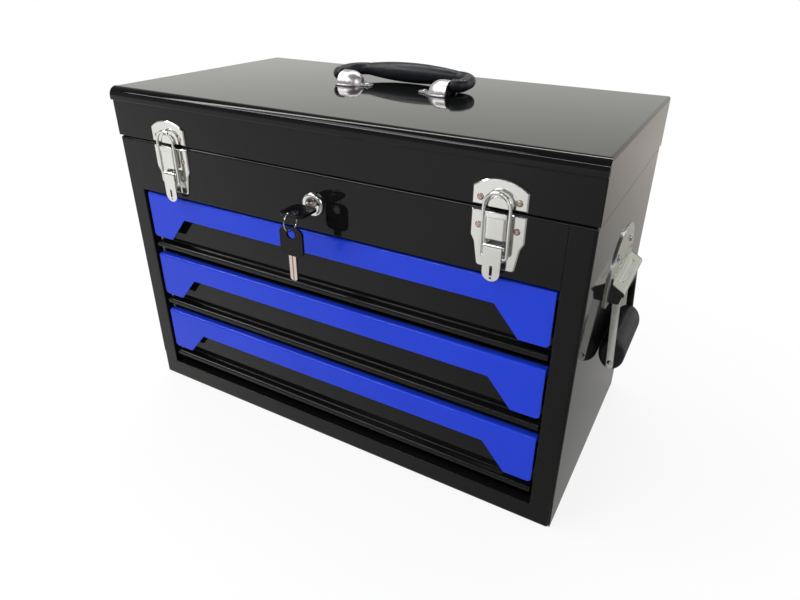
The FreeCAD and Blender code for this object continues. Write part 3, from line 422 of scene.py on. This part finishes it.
class CHEST_OT_enamel(bpy.types.Operator):
    """Paint the case, the lid and the drawers"""

    bl_idname = "chest.enamel"
    bl_label = "Enamel the Sheet Metal"

    def execute(self, context):
        paint = context.scene.chest_paint
        dark, light = rgba(paint.body_colour), rgba(paint.body_drift)
        finish("black_enamel", gloss_paint(dark, light, 0.03, 0.075, paint.peel, paint.edge),
               IOR=1.30)
        finish("inner_enamel", gloss_paint(dark, light, 0.10, 0.22, 1.6 * paint.peel,
                                           paint.edge), IOR=1.30)
        finish("blue_enamel", gloss_paint(rgba(paint.front_colour), rgba(paint.front_drift),
                                          0.14, 0.24, 2.2 * paint.peel, paint.edge), IOR=1.30)
        paint_nodes(["side_panel_left", "side_panel_right", "front_header", "back_panel",
                     "base_pan", "lid_shell", "hinge_leaf_case", "hinge_leaf_lid"]
                    + [name + "_front" for name in DRAWERS], "black_enamel")
        paint_nodes(["tray_floor"] + [name + "_tray" for name in DRAWERS], "inner_enamel")
        paint_nodes([name + "_fascia" for name in DRAWERS], "blue_enamel")
        return {"FINISHED"}


class CHEST_OT_plating(bpy.types.Operator):
    """Plate the latches, the lock, the brackets and the hidden steel"""

    bl_idname = "chest.plating"
    bl_label = "Plate the Hardware"

    def execute(self, context):
        finish("chrome", plated((0.70, 0.70, 0.68, 1.0), (0.80, 0.80, 0.77, 1.0),
                                0.07, 0.17, wave=0.000012, scratch=0.06, edge=0.0005),
               Metallic=1.0)
        finish("satin_chrome", plated((0.56, 0.53, 0.54, 1.0), (0.70, 0.66, 0.67, 1.0),
                                      0.28, 0.42, wave=0.00001, scratch=0.25, edge=0.0006),
               Metallic=1.0)
        cream = ((0.56, 0.56, 0.49, 1.0), (0.70, 0.70, 0.62, 1.0), (0.45, 0.50, 0.58, 1.0),
                 0.22, 0.38, 0.0005)
        finish("zinc", passivated(*cream), Metallic=1.0)
        # Zinc for the side hoods, its cheeks painted dark as the shade under the hood.
        finish("hood_zinc_painted_shade", passivated(*cream, HOOD_CHEEK))
        finish("blue_zinc", passivated((0.30, 0.36, 0.40, 1.0), (0.46, 0.52, 0.55, 1.0),
                                       (0.30, 0.30, 0.45, 1.0), 0.16, 0.30, 0.0003),
               Metallic=1.0)
        finish("copper", plated((0.46, 0.29, 0.25, 1.0), (0.68, 0.50, 0.44, 1.0),
                                0.14, 0.28, wave=0.00001, scratch=0.2, edge=0.0003),
               Metallic=1.0)
        # The key blades carry a stripe of painted shade for their groove.
        finish("nickel", groove_shaded(plated((0.58, 0.47, 0.42, 1.0), (0.74, 0.64, 0.60, 1.0),
                                       0.16, 0.30, wave=0.00001, scratch=0.2, edge=0.0002)),
               Metallic=1.0)
        # Dark non-metal painted as shade: the rings under the latch rivets and the side pins under
        # the hoods.
        finish("painted_shade_black", moulded((0.008, 0.008, 0.009, 1.0), (0.022, 0.020, 0.022, 1.0),
                                    0.35, 0.55, grain=0.00001, cells=2600.0, edge=0.0001))
        chrome = ["latch_pins", "lock_barrel", "lock_plug"]
        zinc = ["runner_posts", "runners", "lock_catch", "lock_cam", "cam_screw",
                "lock_nut", "hinge_pin", "top_handle_core"]
        for name, _ in SIDES:
            chrome += [part + name for part in (
                "latch_keeper_", "latch_base_", "latch_lever_", "latch_loop_")]
            chrome.append("side_bail_" + name)
            zinc.append("side_plate_" + name)
            paint_nodes(["side_hood_" + name], "hood_zinc_painted_shade")
            paint_nodes(["handle_bracket_" + name], "satin_chrome")
        zinc += [name + "_slides" for name in DRAWERS]
        paint_nodes(chrome, "chrome")
        paint_nodes(zinc, "zinc")
        # The side pins are painted dark as the shade under the hoods.
        paint_nodes(["side_pins"], "painted_shade_black")
        paint_nodes(["key_blade", "spare_key_blade"], "nickel")
        return {"FINISHED"}


class CHEST_OT_grips(bpy.types.Operator):
    """Mould the grips"""

    bl_idname = "chest.grips"
    bl_label = "Mould the Grips"

    def execute(self, context):
        finish("grip_rubber", moulded((0.005, 0.006, 0.009, 1.0), (0.010, 0.011, 0.015, 1.0),
                                      0.32, 0.48, grain=0.00006, cells=1100.0, edge=0.0008),
               IOR=1.36)
        finish("bow_plastic", moulded((0.002, 0.002, 0.003, 1.0), (0.004, 0.004, 0.005, 1.0),
                                      0.22, 0.36, grain=0.00002, cells=2400.0, edge=0.0003),
               IOR=1.28)
        paint_nodes(["top_handle_grip", "side_grip_left", "side_grip_right"], "grip_rubber")
        return {"FINISHED"}


def rivet_profile(head, dome, shank):
    """Half outline of a headed rivet: shank, skirt, rim, crown and a small dimple."""
    return [(0.0, -shank), (0.0013, -shank), (0.0013, 0.0), (head, 0.0), (head, 0.25 * dome),
            (0.93 * head, 0.52 * dome), (0.74 * head, 0.83 * dome), (0.45 * head, dome),
            (0.26 * head, dome), (0.20 * head, 0.86 * dome), (0.0, 0.82 * dome)]


class CHEST_OT_rivets(bpy.types.Operator):
    """Set the rivets of the latches and side plates, and the screws of the brackets"""

    bl_idname = "chest.rivets"
    bl_label = "Set the Rivets"

    def execute(self, context):
        sizes = context.scene.chest_fittings
        latch = rivet_profile(sizes.rivet_head, dome=0.0009, shank=0.0024)
        plate = rivet_profile(sizes.side_rivet_head, dome=0.0016, shank=0.0030)
        screw = rivet_profile(0.0026, dome=0.0014, shank=0.0020)
        # Painted contact shadow: a thin dark ring under each latch rivet's head, reaching past its
        # rim.
        shadow_ring = [(0.0014, 0.0), (sizes.rivet_head + 0.0004, 0.0),
                  (sizes.rivet_head + 0.0003, 0.00012), (0.0014, 0.00016), (0.0014, 0.0)]
        case, lid = bmesh.new(), bmesh.new()
        for _, sign in SIDES:
            for shape, height in ((case, CASE_RIVET_Z), (lid, LID_RIVET_Z)):
                for step in (-LATCH_RIVET_STEP, LATCH_RIVET_STEP):
                    place = (sign * LATCH_X + step, LATCH_PLATE_Y, height)
                    turned(shape, latch, place, (0, -1, 0), 24, 0)
                    turned(shape, shadow_ring, place, (0, -1, 0), 24, 1)
            for y in SIDE_RIVETS_Y:
                for z in SIDE_RIVETS_Z:
                    turned(case, plate, (sign * SIDE_PLATE_X, y, z), (sign, 0, 0), 28, 2)
            across, depth, height = BRACKET_SCREW
            turned(lid, screw, (sign * across, depth, height), (0, 0, 1), 24, 2)
        finishes = ["copper", "painted_shade_black", "blue_zinc"]
        piece("case_rivet_heads", case, "case", "chrome", finishes, "case_rivets")
        piece("lid_rivet_heads", lid, "lid", "chrome", finishes, "lid_rivets")
        return {"FINISHED"}


class CHEST_OT_lips(bpy.types.Operator):
    """Carry each latch's bridge up to the lid with a bevelled lip"""

    bl_idname = "chest.lips"
    bl_label = "Fit the Latch Lips"

    def execute(self, context):
        sizes = context.scene.chest_fittings
        for name, sign in SIDES:
            shape = bmesh.new()
            bmesh.ops.create_cube(shape, size=1.0)
            bmesh.ops.scale(shape, verts=shape.verts, vec=(BRIDGE_WIDTH, 0.001, sizes.lip_height))
            upright = [edge for edge in shape.edges
                       if abs(edge.verts[0].co.z - edge.verts[1].co.z) > 0.001]
            bmesh.ops.bevel(shape, geom=upright, offset=0.00045, segments=4, profile=0.5,
                            affect="EDGES", material=-1)
            top = [edge for edge in shape.edges
                   if min(vert.co.z for vert in edge.verts) > 0.0015]
            bmesh.ops.bevel(shape, geom=top, offset=0.0003, segments=3, profile=0.5,
                            affect="EDGES", material=-1)
            bmesh.ops.translate(shape, verts=shape.verts,
                                vec=(sign * LATCH_X, BRIDGE_Y,
                                     BRIDGE_TOP_Z + sizes.lip_height / 2))
            piece("latch_lip_" + name, shape, "case", "chrome", ["chrome"])
        return {"FINISHED"}


def key_bow(shape, rim, recess):
    """Plastic bow: a rounded square with a hole, its field sunk inside a raised rim."""
    wide, long, thick = BOW_HALF
    bmesh.ops.create_grid(shape, x_segments=1, y_segments=1, size=1.0)
    bmesh.ops.scale(shape, verts=shape.verts, vec=(wide, long, 1.0))
    bmesh.ops.translate(shape, verts=shape.verts, vec=(0.0, BOW_MIDDLE_Y, thick))
    bmesh.ops.bevel(shape, geom=list(shape.verts), offset=BOW_CORNER, offset_type="OFFSET",
                    segments=7, profile=0.5, affect="VERTICES", material=-1)
    bmesh.ops.delete(shape, geom=list(shape.faces), context="FACES_ONLY")
    outline = list(shape.edges)
    bmesh.ops.create_circle(shape, segments=len(outline), radius=BOW_HOLE_RADIUS,
                            matrix=Matrix.Translation((0.0, BOW_HOLE_Y, thick)))
    inner = [edge for edge in shape.edges if edge not in outline]
    bmesh.ops.bridge_loops(shape, edges=outline + inner)
    top = list(shape.faces)
    for face in top:
        if face.normal.z < 0:
            face.normal_flip()
    made = bmesh.ops.extrude_face_region(shape, geom=top)
    lower = [vert for vert in made["geom"] if isinstance(vert, bmesh.types.BMVert)]
    bmesh.ops.translate(shape, verts=lower, vec=(0.0, 0.0, -2 * thick))
    bmesh.ops.recalc_face_normals(shape, faces=shape.faces)
    rounding = ((0.00012, 0.00026), (0.00035, 0.0002))
    flat = rim - 0.00047
    for side in (1, -1):
        field = [face for face in shape.faces if face.normal.z * side > 0.9]
        for inward, rise in rounding + ((flat, 0.0), (0.00015, -recess)):
            bmesh.ops.inset_region(shape, faces=field, thickness=inward, depth=rise,
                                   use_even_offset=True)


class CHEST_OT_keys(bpy.types.Operator):
    """Mould the bows of the two keys and wind the split ring"""

    bl_idname = "chest.keys"
    bl_label = "Make the Keys and Ring"

    def execute(self, context):
        sizes = context.scene.chest_fittings
        low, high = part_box("key_ring")
        centre = (low + high) / 2
        bottom = centre.z - RING_RADIUS
        home = Matrix.Translation(LOCK_FACE)
        hung = (Matrix.Translation((0.0, centre.y, bottom - RING_TO_HOLE + BOW_HOLE_Y))
                @ Matrix.Rotation(math.radians(-90.0), 4, "X"))
        for body, place in (("key", home), ("spare_key", hung)):
            shape = bmesh.new()
            key_bow(shape, sizes.bow_rim, sizes.bow_recess)
            bmesh.ops.transform(shape, matrix=place, verts=shape.verts)
            piece(body + "_bow_moulding", shape, body, "plastic", ["bow_plastic"],
                  body + "_bow")

        wire = sizes.ring_wire
        pitch = 2.1 * wire
        shape = bmesh.new()
        bmesh.ops.create_circle(shape, segments=12, radius=wire, cap_ends=True)
        bmesh.ops.scale(shape, verts=shape.verts, vec=(1.8, 1.0, 1.0))
        bmesh.ops.rotate(shape, verts=shape.verts, matrix=Matrix.Rotation(math.pi / 2, 3, "X"))
        bmesh.ops.translate(shape, verts=shape.verts, vec=(RING_RADIUS, 0.0, -pitch))
        steps = 144
        cap = list(shape.faces)
        bmesh.ops.spin(shape, geom=list(shape.verts) + list(shape.edges) + cap, cent=(0, 0, 0),
                       axis=(0, 0, 1), dvec=(0, 0, 2 * pitch / steps), angle=2 * math.tau,
                       steps=steps)
        upright = Vector((1, 0, 0)).to_track_quat("Z", "Y").to_matrix().to_4x4()
        bmesh.ops.transform(shape, matrix=Matrix.Translation(centre) @ upright,
                            verts=shape.verts)
        piece("split_ring", shape, "ring", "chrome", ["chrome"], "key_ring")
        return {"FINISHED"}


def lamp(name, place, aim, size, power):
    """Soft rectangular lamp that faces a point."""
    data = bpy.data.lights.new(name, "AREA")
    data.shape = "RECTANGLE"
    data.size, data.size_y = size
    data.energy = power
    holder = bpy.data.objects.new(name, data)
    bpy.context.scene.collection.objects.link(holder)
    holder.location = place
    holder.rotation_euler = (Vector(aim) - Vector(place)).to_track_quat("-Z", "Y").to_euler()
    return holder


def floor_paper(colour):
    """Pale paper that turns white away from the chest, and glows with a painted reflection for
    what the paint mirrors.
    """
    material = bpy.data.materials.new("floor_paper")
    material.use_nodes = True
    tree = material.node_tree
    start = Wire(tree)
    space = start.node("ShaderNodeTexCoord", None, None, "Object")
    grain = noise(space, 180.0, 3.0)
    shade = [0.97 * part for part in colour]
    paper = start.node("ShaderNodeBsdfDiffuse", None, {
        "Color": grain.blend(rgba(colour), rgba(shade))})
    seen = start.node("ShaderNodeLightPath", None, None, "Is Camera Ray")
    shiny = start.node("ShaderNodeLightPath", None, None, "Is Glossy Ray")
    clear = start.node("ShaderNodeLightPath", None, None, "Is Transmission Ray")
    # Painted reflection: glossy rays see the floor glow dark to the right in front as painted
    # shade, bright to the left, warm grey far behind.
    leftward = spread(space.part("X"), 0.32, -0.18, 0.0, 1.0)
    near = leftward.blend((0.24, 0.235, 0.22, 1.0), (0.94, 0.94, 0.92, 1.0))
    behind = spread(space.part("Y"), 0.25, 1.2, 0.0, 1.0)
    mirrored = behind.blend(near, (0.66, 0.60, 0.54, 1.0))
    white = start.node("ShaderNodeEmission", None, {"Color": shiny.blend(WHITE, mirrored)})
    # The share of white leaves the chest's shadow on the paper close by.
    away = space.node("ShaderNodeVectorMath", {"operation": "LENGTH"}, {0: space}, 1)
    share = (seen * spread(away, 0.45, 1.1, 0.84, 1.0) + 0.88 * shiny + clear).clamped()
    mixed = start.node("ShaderNodeMixShader", None, {0: share, 1: paper, 2: white})
    tree.links.new(mixed.socket, tree.nodes["Material Output"].inputs["Surface"])
    return material


def studio_world():
    """White to the camera, a graded sky to reflections and a soft ramp to all other rays."""
    world = bpy.data.worlds.new("studio")
    world.use_nodes = True
    sky = Wire(world.node_tree)
    seen = sky.node("ShaderNodeLightPath", None, None, "Is Camera Ray")
    shiny = sky.node("ShaderNodeLightPath", None, None, "Is Glossy Ray")
    rays = sky.node("ShaderNodeTexCoord", None, None, "Generated")
    height = rays.part("Z")
    ramp = sky.node("ShaderNodeValToRGB", {"stops": [
        (0.0, (1.0, 1.0, 0.96, 1.0)), (0.26, (0.96, 0.97, 0.90, 1.0)),
        (0.42, (0.36, 0.37, 0.37, 1.0)), (0.66, (0.12, 0.12, 0.13, 1.0)),
        (1.0, (0.20, 0.20, 0.22, 1.0))]}, {0: height})
    rightward = spread(rays.part("X"), -0.7, 0.1, 0.0, 0.12)
    forward = spread(rays.part("Y"), 0.1, -0.25, 0.0, 0.7)
    sided = (rightward + forward).clamped().blend(ramp, (0.06, 0.06, 0.07, 1.0))
    soft = sky.node("ShaderNodeValToRGB", {"stops": [
        (0.0, (0.80, 0.80, 0.80, 1.0)), (1.0, (0.42, 0.42, 0.43, 1.0))]}, {0: height})
    tone = seen.blend(shiny.blend(soft, sided), WHITE)
    back = world.node_tree.nodes["Background"]
    world.node_tree.links.new(tone.socket, back.inputs["Color"])
    back.inputs["Strength"].default_value = 1.0
    return world


class CHEST_OT_stage(bpy.types.Operator):
    """Set the floor, the lamps and the camera"""

    bl_idname = "chest.stage"
    bl_label = "Set the Stage"

    def execute(self, context):
        scene = context.scene
        stage = scene.chest_stage
        mesh = bpy.data.meshes.new("floor")
        shape = bmesh.new()
        bmesh.ops.create_grid(shape, x_segments=1, y_segments=1, size=stage.floor_size / 2)
        shape.to_mesh(mesh)
        shape.free()
        mesh.materials.append(floor_paper(stage.floor_colour))
        floor = bpy.data.objects.new("floor", mesh)
        scene.collection.objects.link(floor)

        scene.world = studio_world()
        for settings in LAMPS:
            lamp(*settings)

        data = bpy.data.cameras.new("camera")
        data.lens = stage.lens
        data.sensor_width = CAMERA_SENSOR
        data.shift_x, data.shift_y = CAMERA_SHIFT
        data.clip_start = CAMERA_NEAR
        camera = bpy.data.objects.new("camera", data)
        scene.collection.objects.link(camera)
        camera.location = stage.camera_place
        camera.rotation_euler = stage.camera_turn
        scene.camera = camera
        scene.view_settings.view_transform = "Standard"
        return {"FINISHED"}


STEPS = (CHEST_OT_stage, CHEST_OT_enamel, CHEST_OT_plating, CHEST_OT_grips, CHEST_OT_rivets,
         CHEST_OT_lips, CHEST_OT_keys)


class CHEST_PT_sidebar(bpy.types.Panel):
    """Buttons and sizes of the tool chest"""

    bl_label = "Tool Chest"
    bl_idname = "CHEST_PT_sidebar"
    bl_space_type = "VIEW_3D"
    bl_region_type = "UI"
    bl_category = "Tool Chest"

    def draw(self, context):
        for step in STEPS:
            self.layout.operator(step.bl_idname)
        for group in (context.scene.chest_paint, context.scene.chest_fittings,
                      context.scene.chest_stage):
            box = self.layout.box()
            for name in type(group).__annotations__:
                box.prop(group, name)


CLASSES = (ChestPaint, ChestFittings, ChestStage) + STEPS + (CHEST_PT_sidebar,)


def register():
    for cls in CLASSES:
        bpy.utils.register_class(cls)
    bpy.types.Scene.chest_paint = PointerProperty(type=ChestPaint)
    bpy.types.Scene.chest_fittings = PointerProperty(type=ChestFittings)
    bpy.types.Scene.chest_stage = PointerProperty(type=ChestStage)


def unregister():
    del bpy.types.Scene.chest_stage
    del bpy.types.Scene.chest_paint
    for cls in reversed(CLASSES):
        bpy.utils.unregister_class(cls)


def main():
    """Register and run every step."""
    register()
    for step in STEPS:
        group, name = step.bl_idname.split(".")
        getattr(getattr(bpy.ops, group), name)()


if __name__ == "__main__":
    main()
